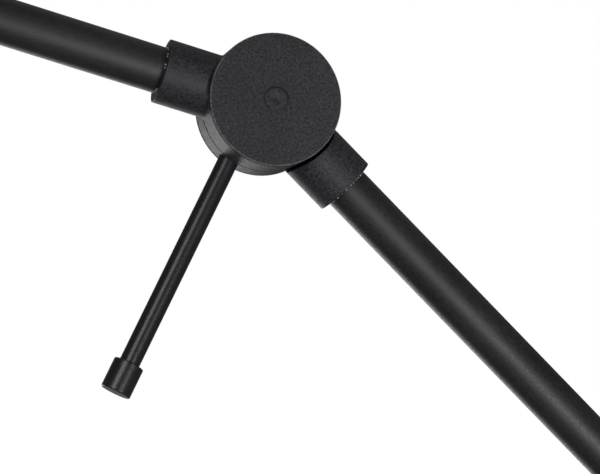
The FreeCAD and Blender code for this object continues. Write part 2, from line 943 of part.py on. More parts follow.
def post_foot_screws(doc):
    """Cap screws from under the weight into the foot's flange."""
    low = SIZES["pad_thick"] + 1
    members = []
    for number, spot in enumerate(foot_screw_spots(), 1):
        body = new_body(doc, f"post_foot_screw_{number}")
        head, shank = dim("foot_screw_head"), dim("foot_screw")
        end = dim("base_top") + dim("foot_thick") - 2
        revolve(
            body,
            f"post_foot_screw_{number}_turned",
            [(0, low), (head, low), (head, low + 4), (shank, low + 4), (shank, end), (0, end)],
        )
        body.Placement = Placement(spot, Rotation())
        members.append(body)
    return keep(group(doc, "post_foot_screws", members), "post_foot_screws")


def post(doc):
    """Two tube sections and the joiner inside them."""
    inner = dim("tube_radius") - dim("tube_wall")
    start = Vector(0, 0, SIZES["base_top"] + SIZES["foot_thick"])
    middle = Vector(0, 0, SIZES["joint_level"])
    top = Vector(0, 0, SIZES["shoulder_high"] - SIZES["socket_stop"])
    round_tube(doc, "post_lower_tube", start, middle)
    round_tube(doc, "post_upper_tube", middle, top)
    half = Vector(0, 0, SIZES["joiner_long"] / 2)
    ring(
        doc,
        "post_joiner",
        inner - dim("tube_fit"),
        dim("lead_way"),
        dim("joiner_long"),
        standing(middle - half, half),
    )


def arm_tube(doc, name, start, end):
    """Arm tube from socket stop to socket stop between two knuckle axes."""
    run = (end - start).normalize() * SIZES["socket_stop"]
    return round_tube(doc, name, start + run, end - run)


# Head


def head_stem(doc, place):
    length = dim("stem_end") - dim("socket_stop")
    inner = dim("tube_radius") - dim("tube_wall")
    start = place.multiply(Placement(Vector(0, 0, SIZES["socket_stop"]), Rotation()))
    return ring(doc, "head_stem", dim("tube_radius"), inner, length, start)


def holder_cup(doc, place):
    """Turned cup with a neck for the stem and a window for the switch's spindle."""
    body = new_body(doc, "holder_cup")
    neck, hole = dim("neck_radius"), dim("tube_radius") + dim("tube_fit")
    wide, wall = dim("holder_cup_radius"), dim("holder_cup_wall")
    start, floor, shoulder = dim("neck_start"), dim("stem_end"), dim("cup_shoulder")
    end = dim("shade_top")
    edge = dim("rim_chamfer")
    bend = wide - neck
    revolve(
        body,
        "holder_cup_turned",
        [
            (hole, start),
            (neck - edge, start),
            (neck, start + edge),
            (neck, shoulder - bend),
            (wide, shoulder),
            (wide, end),
            (wide - wall, end),
            (wide - wall, shoulder),
            (neck + 1, shoulder - bend + 2),
            (dim("lead_hole"), floor + 1.6),
            (dim("lead_hole"), floor),
            (hole, floor),
        ],
        {3: -bend},
    )
    sketch = new_sketch(body, "holder_cup_spindle_sketch", "XZ_Plane")
    level = dim("switch_start") + dim("switch_long") * 0.5
    add_circle(sketch, 0, level, dim("spindle_radius") + dim("lever_fit"))
    pocket(body, "holder_cup_spindle", sketch, wide + 5, reverse=False)
    return keep(body, "holder_cup", place)


def switch_body(doc, place):
    """Rotary switch inside the cup."""
    side, long = SIZES["switch_side"], SIZES["switch_long"]
    corner = Vector(-side / 2, 6.0, SIZES["switch_start"])
    sides = (dim("switch_side"), dim("switch_side"), dim("switch_long"))
    box = block(doc, "switch_body_blank", sides, Placement(corner, Rotation()))
    level = Vector(0, 0, SIZES["switch_start"] + long / 2)
    hole = cylinder(
        doc,
        "switch_body_hole",
        dim("spindle_radius") + dim("lever_fit"),
        dim("holder_cup_radius"),
        standing(level, BACK),
    )
    return keep(cut(doc, "switch_body", box, hole), "switch_body", place)


def switch_knob(doc, place):
    """Round knob with its spindle, out of the cup's front."""
    body = new_body(doc, "switch_knob")
    spindle, knob = dim("spindle_radius"), dim("knob_radius")
    wall = dim("holder_cup_radius") + 0.6
    end = wall + dim("knob_long")
    revolve(
        body,
        "switch_knob_turned",
        [
            (0, 8),
            (spindle, 8),
            (spindle, wall),
            (knob, wall),
            (knob - 0.8, end - 1),
            (knob - 1.8, end),
            (0, end),
        ],
    )
    level = Vector(0, 0, SIZES["switch_start"] + SIZES["switch_long"] / 2)
    return keep(body, "switch_knob", place.multiply(standing(level, BACK)))


def lamp_holder(doc, place):
    """Screw lamp holder with a flange that the shade hangs on."""
    body = new_body(doc, "lamp_holder")
    wide, bore = dim("holder_radius"), dim("holder_bore")
    start, end = dim("holder_start"), dim("holder_end")
    floor = start + dim("holder_floor")
    seat = dim("shade_top")
    revolve(
        body,
        "lamp_holder_turned",
        [
            (0, start),
            (wide - 1, start),
            (wide - 1, seat - 2),
            (dim("holder_cup_radius") - dim("holder_cup_wall") - 0.1, seat - 2),
            (dim("holder_cup_radius") - dim("holder_cup_wall") - 0.1, seat),
            (wide, seat),
            (wide, end),
            (bore, end),
            (bore, floor),
            (0, floor),
        ],
    )
    return keep(body, "lamp_holder", place)


def shade_line(skin):
    """Corners of the shade's wall from the crown to the mouth, set in by the skin."""
    top = dim("shade_top")
    return [
        (dim("shade_crown") - skin * 0.5, top + skin),
        (dim("shade_shoulder") - skin, top + dim("crown_round") + skin * 0.5),
        (dim("shade_mouth") - skin, top + dim("shade_long")),
    ]


def shade(doc, place):
    """Spun bell: flat crown, rounded shoulder, flared skirt."""
    body = new_body(doc, "shade")
    skin = dim("shade_skin")
    crown_out, shoulder_out, mouth_out = shade_line(sized(0))
    crown_in, shoulder_in, mouth_in = shade_line(skin)
    bend, flare = dim("shade_bend"), dim("shade_flare")
    revolve(
        body,
        "shade_spun",
        [
            (dim("shade_hole"), dim("shade_top")),
            crown_out,
            shoulder_out,
            mouth_out,
            mouth_in,
            shoulder_in,
            crown_in,
            (dim("shade_hole"), dim("shade_top") + skin),
        ],
        {1: -bend, 2: flare, 4: -(flare + skin), 5: bend - skin},
    )
    return keep(body, "shade", place)


def shade_ring(doc, place):
    """Threaded ring that holds the shade against the cup."""
    start = SIZES["shade_top"] + SIZES["shade_skin"]
    lowered = place.multiply(Placement(Vector(0, 0, start), Rotation()))
    hole = dim("shade_hole") - 0.1
    return ring(doc, "shade_ring", dim("ring_radius"), hole, dim("ring_thick"), lowered)


def bulb(doc, place):
    """Screw base and globe of the lamp's bulb."""
    body = new_body(doc, "bulb_base")
    end = dim("holder_end") - 1
    start = end - dim("lamp_base_long")
    wide = dim("lamp_base_radius")
    revolve(
        body,
        "bulb_base_turned",
        [(0, start), (5, start), (wide - 2, start + 4), (wide, start + 5), (wide, end), (0, end)],
    )
    keep(body, "bulb_base", place)
    globe = new_body(doc, "bulb_globe")
    neck, wide, long = dim("bulb_neck"), dim("bulb_radius"), dim("bulb_long")
    middle = end + long - wide
    revolve(
        globe,
        "bulb_globe_blown",
        [
            (0, end),
            (neck, end),
            (neck, end + 8),
            (wide, middle),
            (0, middle + wide),
        ],
        {2: sized(60.0), 3: -wide},
    )
    keep(globe, "bulb_globe", place)


def head(doc, centre):
    """Everything below the head knuckle, hanging down its stem."""
    offset = BACK * SIZES["socket_offset"]
    place = Placement(centre + offset, Rotation(Vector(1, 0, 0), 180))
    head_stem(doc, place)
    holder_cup(doc, place)
    switch_body(doc, place)
    switch_knob(doc, place)
    lamp_holder(doc, place)
    shade(doc, place)
    shade_ring(doc, place)
    bulb(doc, place)


# Whole lamp


def build_lamp(doc):
    offset = SIZES["socket_offset"]
    down, left = 270.0, 180.0
    lower_heading = left - SIZES["lower_rise"]
    upper_heading = left - SIZES["upper_rise"]
    shoulder = Vector(0, offset, SIZES["shoulder_high"])
    elbow = shoulder + heading(lower_heading) * SIZES["lower_arm"]
    wrist = elbow + heading(upper_heading) * SIZES["upper_arm"]
    base_pad(doc)
    base_weight(doc)
    base_cover(doc)
    base_lead_bush(doc)
    post_foot(doc)
    post_foot_screws(doc)
    post(doc)
    knuckle(doc, "shoulder", shoulder, FRONT, lower_heading, down, True)
    knuckle(doc, "elbow", elbow, BACK, upper_heading, lower_heading + left, True)
    knuckle(doc, "head", wrist, BACK, upper_heading + left, down, False)
    arm_tube(doc, "lower_arm_tube", shoulder + BACK * offset, elbow + BACK * offset)
    arm_tube(doc, "upper_arm_tube", elbow + FRONT * offset, wrist + FRONT * offset)
    head(doc, wrist)


def check(doc):
    """Stops before anything is written if a feature failed or a sub-part isn't valid."""
    for thing in doc.Objects:
        if "Invalid" in thing.State or "Error" in thing.State:
            raise RuntimeError(f"{thing.Label} did not compute: {thing.State}")
    for node in NODES:
        if node.Shape.isNull() or not node.Shape.isValid():
            raise RuntimeError(f"{node.Label} has no valid shape")


def write_parts():
    os.makedirs("parts", exist_ok=True)
    for node in NODES:
        node.Shape.exportStep(os.path.join("parts", f"{node.Label}.step"))


document = FreeCAD.newDocument("floor_lamp")
make_sheet(document)
build_lamp(document)
document.recompute()
check(document)
write_parts()
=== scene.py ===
import json
import logging
import math
import random
from collections.abc import Callable
from dataclasses import dataclass, field
from enum import Enum

import bpy
import bmesh
from mathutils import Matrix, Vector


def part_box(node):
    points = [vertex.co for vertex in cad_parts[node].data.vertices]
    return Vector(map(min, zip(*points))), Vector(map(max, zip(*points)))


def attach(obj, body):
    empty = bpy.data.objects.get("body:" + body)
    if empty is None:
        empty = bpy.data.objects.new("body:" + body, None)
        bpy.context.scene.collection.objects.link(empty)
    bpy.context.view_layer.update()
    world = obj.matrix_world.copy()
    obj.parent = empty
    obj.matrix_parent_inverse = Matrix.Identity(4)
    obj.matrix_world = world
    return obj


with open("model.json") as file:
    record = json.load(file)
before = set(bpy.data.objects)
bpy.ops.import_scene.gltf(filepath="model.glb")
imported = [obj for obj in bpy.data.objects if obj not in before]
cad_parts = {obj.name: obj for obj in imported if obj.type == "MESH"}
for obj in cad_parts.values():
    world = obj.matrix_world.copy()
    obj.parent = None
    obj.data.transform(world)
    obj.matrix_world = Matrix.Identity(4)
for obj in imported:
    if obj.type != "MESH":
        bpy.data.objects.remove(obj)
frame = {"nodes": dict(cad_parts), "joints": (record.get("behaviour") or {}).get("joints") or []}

LOG = logging.getLogger("floor_lamp")
MM = 0.001


def linear(hex_colour: str) -> tuple:
    """Turn an sRGB hex colour into the linear RGBA that a shader takes.

    Args:
        hex_colour: six hex digits with a leading hash.

    Returns:
        Linear red, green, blue and an alpha of 1.
    """
    values = [int(hex_colour[i:i + 2], 16) / 255 for i in (1, 3, 5)]
    return tuple(v / 12.92 if v <= 0.04045 else ((v + 0.055) / 1.055) ** 2.4 for v in values) + (1.0,)


def add_node(
    tree: bpy.types.NodeTree, kind: str, settings: dict | None = None, links: dict | None = None
) -> bpy.types.Node:
    """Add one node with its settings and incoming links.

    Args:
        tree: node tree to add to.
        kind: Blender's node type.
        settings: socket name or number, or node attribute, to value.
        links: socket name or number to the output that feeds it.

    Returns:
        The new node.
    """
    node = tree.nodes.new(kind)
    for name, value in (settings or {}).items():
        if isinstance(name, int) or name in node.inputs:
            node.inputs[name].default_value = value
        else:
            setattr(node, name, value)
    for name, output in (links or {}).items():
        tree.links.new(output, node.inputs[name])
    return node


def per_metre(size_mm: float) -> float:
    """Give the pattern scale whose features are about size_mm across."""
    return 1000.0 / size_mm


class Look(Enum):
    """How dry a coat is, as its roughness."""

    MATT = 0.55
    SATIN = 0.5


@dataclass(frozen=True)
class Finish:
    """Base of every finish: a named Principled material."""

    name: str

    def start(self) -> tuple:
        """Make an empty material.

        Returns:
            The material, its node tree and its Principled node.
        """
        material = bpy.data.materials.new(self.name)
        material.use_nodes = True
        tree = material.node_tree
        tree.nodes.clear()
        shader = add_node(tree, "ShaderNodeBsdfPrincipled")
        add_node(tree, "ShaderNodeOutputMaterial", links={"Surface": shader.outputs["BSDF"]})
        return material, tree, shader

    def grain(
        self, tree: bpy.types.NodeTree, size_mm: float, detail: float = 2.0, stretch: tuple = (1, 1, 1)
    ) -> bpy.types.NodeSocket:
        """Noise in the piece's own space.

        Args:
            tree: node tree to add to.
            size_mm: feature size in millimetres.
            detail: octaves of finer noise.
            stretch: scale along the piece's X, Y and Z.

        Returns:
            The noise's value output.
        """
        place = add_node(tree, "ShaderNodeTexCoord")
        links = {"Vector": place.outputs["Object"]}
        spread = add_node(tree, "ShaderNodeMapping", {"Scale": stretch}, links)
        noise = add_node(
            tree,
            "ShaderNodeTexNoise",
            {"Scale": per_metre(size_mm), "Detail": detail, "Roughness": 0.6},
            {"Vector": spread.outputs["Vector"]},
        )
        return noise.outputs["Fac"]

    def graded(
        self,
        tree: bpy.types.NodeTree,
        value: bpy.types.NodeSocket,
        low: tuple,
        high: tuple,
        span: tuple = (0.3, 0.7),
    ) -> bpy.types.NodeSocket:
        """Colour ramp between two linear colours.

        Args:
            tree: node tree to add to.
            value: output that drives the ramp.
            low: linear colour at the span's start.
            high: linear colour at the span's end.
            span: the two places on the ramp.

        Returns:
            The ramp's colour output.
        """
        ramp = add_node(tree, "ShaderNodeValToRGB", links={"Fac": value})
        stops = ramp.color_ramp.elements
        stops[0].position, stops[1].position = span
        stops[0].color, stops[1].color = low, high
        return ramp.outputs["Color"]

    def ranged(
        self, tree: bpy.types.NodeTree, value: bpy.types.NodeSocket, low: float, high: float
    ) -> bpy.types.NodeSocket:
        """Map a 0.3 to 0.7 noise to a range and return the output."""
        settings = {"From Min": 0.3, "From Max": 0.7, "To Min": low, "To Max": high}
        return add_node(tree, "ShaderNodeMapRange", settings, {"Value": value}).outputs["Result"]

    def relief(
        self,
        tree: bpy.types.NodeTree,
        shader: bpy.types.Node,
        height: bpy.types.NodeSocket,
        depth_mm: float,
        strength: float,
        round_mm: float = 0.0,
    ) -> None:
        """Bump the surface, with softly rounded edges if round_mm is given.

        Args:
            tree: node tree to add to.
            shader: Principled node to feed.
            height: output that gives the height.
            depth_mm: relief in millimetres.
            strength: share of the relief that shows.
            round_mm: radius of the edges' apparent rounding.
        """
        links = {"Height": height}
        if round_mm:
            soft = add_node(tree, "ShaderNodeBevel", {"samples": 4, "Radius": round_mm * MM})
            links["Normal"] = soft.outputs["Normal"]
        bump = add_node(tree, "ShaderNodeBump", {"Strength": strength, "Distance": depth_mm * MM}, links)
        tree.links.new(bump.outputs["Normal"], shader.inputs["Normal"])


@dataclass(frozen=True)
class PowderCoat(Finish):
    """Polyester powder coat, sprayed and oven cured on zinc castings and steel.

    The eye sees near-black with a dry, sandy grain that catches small points of light. A lighter copy of
    this finish is put on the covers' rim chamfers as a painted highlight.
    """

    colour: str = "#1a1a1c"
    fleck: str = "#424249"
    look: Look = Look.MATT
    grain_mm: float = 1.1
    depth_mm: float = 0.12
    strength: float = 0.5
    round_mm: float = 0.5
    gleam: float = 0.36

    def make(self) -> bpy.types.Material:
        """Build the material."""
        material, tree, shader = self.start()
        fine = self.grain(tree, self.grain_mm, 3.0)
        broad = self.grain(tree, 45.0, 1.0)
        # Grit in the powder is near 0.05 mm, too fine to show, so it is drawn at its clumps' size.
        specks = self.graded(tree, fine, linear(self.colour), linear(self.fleck), (0.36, 0.68))
        cloud = self.graded(tree, broad, linear("#d2d2d2"), linear("#ffffff"))
        mixed = add_node(
            tree,
            "ShaderNodeMix",
            {"data_type": "RGBA", "blend_type": "MULTIPLY", 0: 1.0},
            {6: specks, 7: cloud},
        )
        tree.links.new(mixed.outputs[2], shader.inputs["Base Color"])
        rough = self.ranged(tree, fine, self.look.value - 0.08, self.look.value + 0.1)
        tree.links.new(rough, shader.inputs["Roughness"])
        shader.inputs["Specular IOR Level"].default_value = self.gleam
        self.relief(tree, shader, fine, self.depth_mm, self.strength, self.round_mm)
        return material


@dataclass(frozen=True)
class StoveEnamel(Finish):
    """Stoved gloss enamel on turned steel rod: smooth black with faint turning lines."""

    colour: str = "#17181a"
    turning_mm: float = 0.9

    def make(self) -> bpy.types.Material:
        """Build the material."""
        material, tree, shader = self.start()
        fine = self.grain(tree, self.turning_mm, 2.0)
        body = self.graded(tree, fine, linear(self.colour), linear("#202124"))
        tree.links.new(body, shader.inputs["Base Color"])
        tree.links.new(self.ranged(tree, fine, 0.26, 0.36), shader.inputs["Roughness"])
        self.relief(tree, shader, fine, 0.04, 0.25, 0.3)
        return material


@dataclass(frozen=True)
class MattGreyEnd(Finish):
    """Matt, light warm grey on the lever cap's flat end."""

    def make(self) -> bpy.types.Material:
        """Build the material."""
        material, tree, shader = self.start()
        fine = self.grain(tree, 0.8, 2.0)
        body = self.graded(tree, fine, linear("#8c8480"), linear("#a1978f"))
        tree.links.new(body, shader.inputs["Base Color"])
        shader.inputs["Roughness"].default_value = 0.9
        shader.inputs["Specular IOR Level"].default_value = 0.2
        return material


@dataclass(frozen=True)
class BareEdge(Finish):
    """Zinc primer laid bare where the tube was pushed through the coat: chalky, pale, uneven."""

    def make(self) -> bpy.types.Material:
        """Build the material."""
        material, tree, shader = self.start()
        fine = self.grain(tree, 0.7, 3.0)
        body = self.graded(tree, fine, linear("#8a8b90"), linear("#f0f1f4"), (0.35, 0.6))
        tree.links.new(body, shader.inputs["Base Color"])
        shader.inputs["Roughness"].default_value = 0.6
        self.relief(tree, shader, fine, 0.1, 0.5)
        return material


@dataclass(frozen=True)
class Metal(Finish):
    """Bare or plated metal with fine machining lines."""

    dark: str = "#8d8e90"
    light: str = "#b9babb"
    roughness: float = 0.34
    line_mm: float = 0.6
    stretch: tuple = (1, 1, 6)

    def make(self) -> bpy.types.Material:
        """Build the material."""
        material, tree, shader = self.start()
        lines = self.grain(tree, self.line_mm, 2.0, self.stretch)
        body = self.graded(tree, lines, linear(self.dark), linear(self.light))
        tree.links.new(body, shader.inputs["Base Color"])
        shader.inputs["Metallic"].default_value = 1.0
        rough = self.ranged(tree, lines, self.roughness - 0.08, self.roughness + 0.12)
        tree.links.new(rough, shader.inputs["Roughness"])
        self.relief(tree, shader, lines, 0.03, 0.3, 0.2)
        return material


@dataclass(frozen=True)
class CastIron(Finish):
    """Sand-cast grey iron, left as cast: dark, lumpy and dull, with lighter high spots."""

    def make(self) -> bpy.types.Material:
        """Build the material."""
        material, tree, shader = self.start()
        sand = self.grain(tree, 1.6, 4.0)
        body = self.graded(tree, sand, linear("#2b2a29"), linear("#4b4947"))
        tree.links.new(body, shader.inputs["Base Color"])
        shader.inputs["Metallic"].default_value = 0.7
        shader.inputs["Roughness"].default_value = 0.72
        self.relief(tree, shader, sand, 0.5, 0.7, 0.8)
        return material


@dataclass(frozen=True)
class PressedFelt(Finish):
    """Pressed wool felt: matted fibres a fraction of a millimetre apart, with a dry sheen."""

    def make(self) -> bpy.types.Material:
        """Build the material."""
        material, tree, shader = self.start()
        fibres = self.grain(tree, 0.8, 5.0, (1, 2.2, 1))
        body = self.graded(tree, fibres, linear("#141416"), linear("#37373b"))
        tree.links.new(body, shader.inputs["Base Color"])
        shader.inputs["Roughness"].default_value = 0.95
        shader.inputs["Sheen Weight"].default_value = 0.4
        self.relief(tree, shader, fibres, 0.4, 0.9)
        return material


@dataclass(frozen=True)
class MouldedPlastic(Finish):
    """Injection-moulded plastic with a spark-eroded texture: even, slightly soft-looking."""

    dark: str = "#18191a"
    light: str = "#232426"
    roughness: float = 0.48

    def make(self) -> bpy.types.Material:
        """Build the material."""
        material, tree, shader = self.start()
        spark = self.grain(tree, 0.5, 2.0)
        body = self.graded(tree, spark, linear(self.dark), linear(self.light))
        tree.links.new(body, shader.inputs["Base Color"])
        shader.inputs["IOR"].default_value = 1.49
        rough = self.ranged(tree, spark, self.roughness - 0.06, self.roughness + 0.08)
        tree.links.new(rough, shader.inputs["Roughness"])
        self.relief(tree, shader, spark, 0.05, 0.4, 0.3)
        return material


@dataclass(frozen=True)
class ReflectorEnamel(Finish):
    """White reflector lacquer sprayed inside the shade: bright and even, faintly rippled."""

    def make(self) -> bpy.types.Material:
        """Build the material."""
        material, tree, shader = self.start()
        peel = self.grain(tree, 2.4, 2.0)
        body = self.graded(tree, peel, linear("#e9e7e1"), linear("#f6f4ef"))
        tree.links.new(body, shader.inputs["Base Color"])
        tree.links.new(self.ranged(tree, peel, 0.42, 0.5), shader.inputs["Roughness"])
        self.relief(tree, shader, peel, 0.06, 0.3)
        return material


@dataclass(frozen=True)
class FrostedGlass(Finish):
    """Soda glass bulb, etched inside: milky white with a smooth outer gloss."""

    def make(self) -> bpy.types.Material:
        """Build the material."""
        material, tree, shader = self.start()
        milk = self.grain(tree, 14.0, 2.0)
        body = self.graded(tree, milk, linear("#ecebe6"), linear("#f8f8f5"))
        tree.links.new(body, shader.inputs["Base Color"])
        shader.inputs["Roughness"].default_value = 0.16
        shader.inputs["IOR"].default_value = 1.5
        shader.inputs["Subsurface Weight"].default_value = 0.5
        shader.inputs["Subsurface Scale"].default_value = 8 * MM
        shader.inputs["Coat Weight"].default_value = 0.4
        self.relief(tree, shader, milk, 0.02, 0.2)
        return material


@dataclass(frozen=True)
class StudioPaint(Finish):
    """Painted studio floor with a glow of its own, so it looks evenly pale: a trace of roller texture."""

    glow: float = 0.82

    def make(self) -> bpy.types.Material:
        """Build the material."""
        material, tree, shader = self.start()
        roller = self.grain(tree, 60.0, 2.0)
        paint = self.graded(tree, roller, linear("#6a6a6a"), linear("#6e6e6e"))
        pale = self.graded(tree, roller, linear("#ebebea"), linear("#efefee"))
        tree.links.new(paint, shader.inputs["Base Color"])
        tree.links.new(pale, shader.inputs["Emission Color"])
        shader.inputs["Emission Strength"].default_value = self.glow
        shader.inputs["Roughness"].default_value = 0.75
        return material


@dataclass
class Finishes:
    """Every finish on the lamp, built once."""

    casting: bpy.types.Material = field(init=False)
    painted_edge_highlight: bpy.types.Material = field(init=False)
    dull_end: bpy.types.Material = field(init=False)
    tube: bpy.types.Material = field(init=False)
    lever: bpy.types.Material = field(init=False)
    sheet: bpy.types.Material = field(init=False)
    reflector: bpy.types.Material = field(init=False)
    bare: bpy.types.Material = field(init=False)
    zinc: bpy.types.Material = field(init=False)
    nickel: bpy.types.Material = field(init=False)
    brass: bpy.types.Material = field(init=False)
    iron: bpy.types.Material = field(init=False)
    felt: bpy.types.Material = field(init=False)
    plastic: bpy.types.Material = field(init=False)
    acetal: bpy.types.Material = field(init=False)
    glass: bpy.types.Material = field(init=False)

    def __post_init__(self) -> None:
        """Build the materials."""
        self.casting = PowderCoat("powder_coat_on_zinc_casting").make()
        self.dull_end = MattGreyEnd("matt_light_grey_on_cap_end").make()
        # Lighter copy of the powder coat for the cover chamfers: a painted highlight along each rim.
        self.painted_edge_highlight = PowderCoat("powder_coat_painted_highlight_on_edge", "#4c4c4f", "#8a8a90", Look.SATIN).make()
        self.tube = PowderCoat(
            "powder_coat_on_steel_tube", "#1c1c1d", "#2a2a2e", Look.SATIN, 1.2, 0.05, 0.25, 0.2, 0.54
        ).make()
        self.lever = StoveEnamel("stove_enamel_on_rod").make()
        self.sheet = PowderCoat(
            "powder_coat_on_spun_steel", "#2b2b2d", "#3c3c41", Look.SATIN, 1.3, 0.08, 0.4, 0.4, 0.45
        ).make()
        self.reflector = ReflectorEnamel("white_reflector_lacquer").make()
        self.bare = BareEdge("bare_primer").make()
        self.zinc = Metal("zinc_plated_steel").make()
        self.nickel = Metal("nickel_plated_brass", "#a39c8e", "#cdc7ba", 0.26).make()
        self.brass = Metal("turned_brass", "#a07f3c", "#c9a55a", 0.32).make()
        self.iron = CastIron("cast_iron").make()
        self.felt = PressedFelt("pressed_felt").make()
        self.plastic = MouldedPlastic("moulded_phenolic").make()
        self.acetal = MouldedPlastic("machined_acetal", "#cfcbc0", "#e2dfd6", 0.42).make()
        self.glass = FrostedGlass("frosted_bulb_glass").make()


def dress(nodes: list, material: bpy.types.Material) -> None:
    """Give CAD nodes one finish.

    Args:
        nodes: CAD node names.
        material: finish to assign.
    """
    for name in nodes:
        piece = frame["nodes"][name]
        piece.data.materials.clear()
        piece.data.materials.append(material)
        LOG.info("%s: %s", name, material.name)


CHAMFER_SLANT = (0.2, 0.95)
FACES_ALONG = 0.9


def edge_faces(name: str, material: bpy.types.Material, reach: float) -> None:
    """Give the chamfer round a cover its own finish, which paints a highlight along the rim.

    Args:
        name: cover's node name.
        material: finish of the chamfer.
        reach: radius in metres beyond which a slanted face belongs to the chamfer.
    """
    cover = frame["nodes"][name]
    cover.data.materials.append(material)
    low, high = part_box(name)
    axis = (low + high) / 2
    for face in cover.data.polygons:
        out = math.hypot(face.center.x - axis.x, face.center.z - axis.z)
        if out > reach and CHAMFER_SLANT[0] < abs(face.normal.y) < CHAMFER_SLANT[1]:
            face.material_index = 1


def end_faces(name: str, material: bpy.types.Material, outward: Vector) -> None:
    """Give the flat end of a turned part its own finish.

    Args:
        name: the part's node name.
        material: finish of the end.
        outward: direction the end faces.
    """
    part = frame["nodes"][name]
    part.data.materials.append(material)
    for face in part.data.polygons:
        if face.normal.dot(outward) > FACES_ALONG:
            face.material_index = 1


def new_piece(
    name: str, mesh_maker: bmesh.types.BMesh, material: bpy.types.Material, body: str
) -> bpy.types.Object:
    """Turn built geometry into a piece that rides on a body.

    Args:
        name: piece name.
        mesh_maker: finished geometry, in the row frame.
        material: its finish.
        body: CAD body that it moves with.

    Returns:
        The new object.
    """
    mesh = bpy.data.meshes.new(name)
    mesh_maker.to_mesh(mesh)
    mesh_maker.free()
    piece = bpy.data.objects.new(name, mesh)
    bpy.context.scene.collection.objects.link(piece)
    mesh.materials.append(material)
    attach(piece, body)
    LOG.info("%s: built, %d faces", name, len(mesh.polygons))
    return piece


def lathe(
    profile: list, segments: int, place: Matrix, ripple: Callable[[int, float], float] | None = None
) -> bmesh.types.BMesh:
    """Turn a closed profile about the local Z axis.

    Args:
        profile: (radius, level) corners in metres, in order round the section.
        segments: steps in a full turn.
        place: where the turned piece goes.
        ripple: optional function of corner number and turn in radians that gives extra radius.

    Returns:
        The geometry in the row frame.
    """
    maker = bmesh.new()
    rings = []
    for step in range(segments):
        turn = 2 * math.pi * step / segments
        ring = []
        for corner, (radius, level) in enumerate(profile):
            reach = radius + (ripple(corner, turn) if ripple else 0.0)
            corner_spot = Vector((reach * math.cos(turn), reach * math.sin(turn), level))
            ring.append(maker.verts.new(place @ corner_spot))
        rings.append(ring)
    count = len(profile)
    for step in range(segments):
        ring, after = rings[step], rings[(step + 1) % segments]
        for corner in range(count):
            following = (corner + 1) % count
            face = maker.faces.new((ring[corner], after[corner], after[following], ring[following]))
            face.smooth = True
    bmesh.ops.recalc_face_normals(maker, faces=maker.faces)
    return maker


def aimed(spot: Vector, direction: Vector) -> Matrix:
    """Place at a spot whose local Z runs along a direction."""
    return Matrix.Translation(spot) @ direction.to_track_quat("Z", "Y").to_matrix().to_4x4()


def joint_spot(name: str) -> Vector:
    """Point on a joint's axis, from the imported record."""
    return Vector(next(joint["pos_m"] for joint in frame["joints"] if joint["name"] == name))


def middle(node: str) -> Vector:
    """Centre of a CAD node's box."""
    low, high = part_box(node)
    return (low + high) / 2


@dataclass
class SocketMouth:
    """Thin, broken line of bare coat round a tube where it enters a socket."""

    name: str
    spot: Vector
    direction: Vector
    body: str
    tube_radius: float = 11.0 * MM
    chips: int = 46
    cover: float = 0.5
    seed: int = 3

    def build(self, finishes: Finishes) -> None:
        """Build the chips as one piece.

        Args:
            finishes: the lamp's finishes.
        """
        dice = random.Random(self.seed)
        place = aimed(self.spot, self.direction)
        maker = bmesh.new()
        step = 2 * math.pi / self.chips
        for number in range(self.chips):
            if dice.random() > self.cover:
                continue
            start = step * (number + dice.uniform(0.0, 0.3))
            self.chip(maker, place, start, step * dice.uniform(0.4, 0.9), dice)
        new_piece(self.name, maker, finishes.bare, self.body)

    def chip(
        self, maker: bmesh.types.BMesh, place: Matrix, start: float, sweep: float, dice: random.Random
    ) -> None:
        """Add one curved flake, thicker in its middle than at its ends.

        Args:
            maker: geometry to add to.
            place: the mouth's place.
            start: turn where the flake starts.
            sweep: how far it runs round the tube.
            dice: seeded random numbers.
        """
        steps = 5
        low, high = self.tube_radius - 0.05 * MM, self.tube_radius + 0.25 * MM
        width = dice.uniform(0.5, 1.15) * MM
        rows = []
        for index in range(steps + 1):
            turn = start + sweep * index / steps
            swell = math.sin(math.pi * index / steps) * dice.uniform(0.7, 1.0)
            length = width * swell + 0.03 * MM
            rows.append(
                [
                    maker.verts.new(place @ Vector((r * math.cos(turn), r * math.sin(turn), z)))
                    for r, z in ((low, -0.1 * MM), (high, -0.1 * MM), (high, length), (low, length))
                ]
            )
        for first, second in zip(rows, rows[1:]):
            for side in range(4):
                after = (side + 1) % 4
                maker.faces.new((first[side], second[side], second[after], first[after]))
        maker.faces.new(rows[0][::-1])
        maker.faces.new(rows[-1])


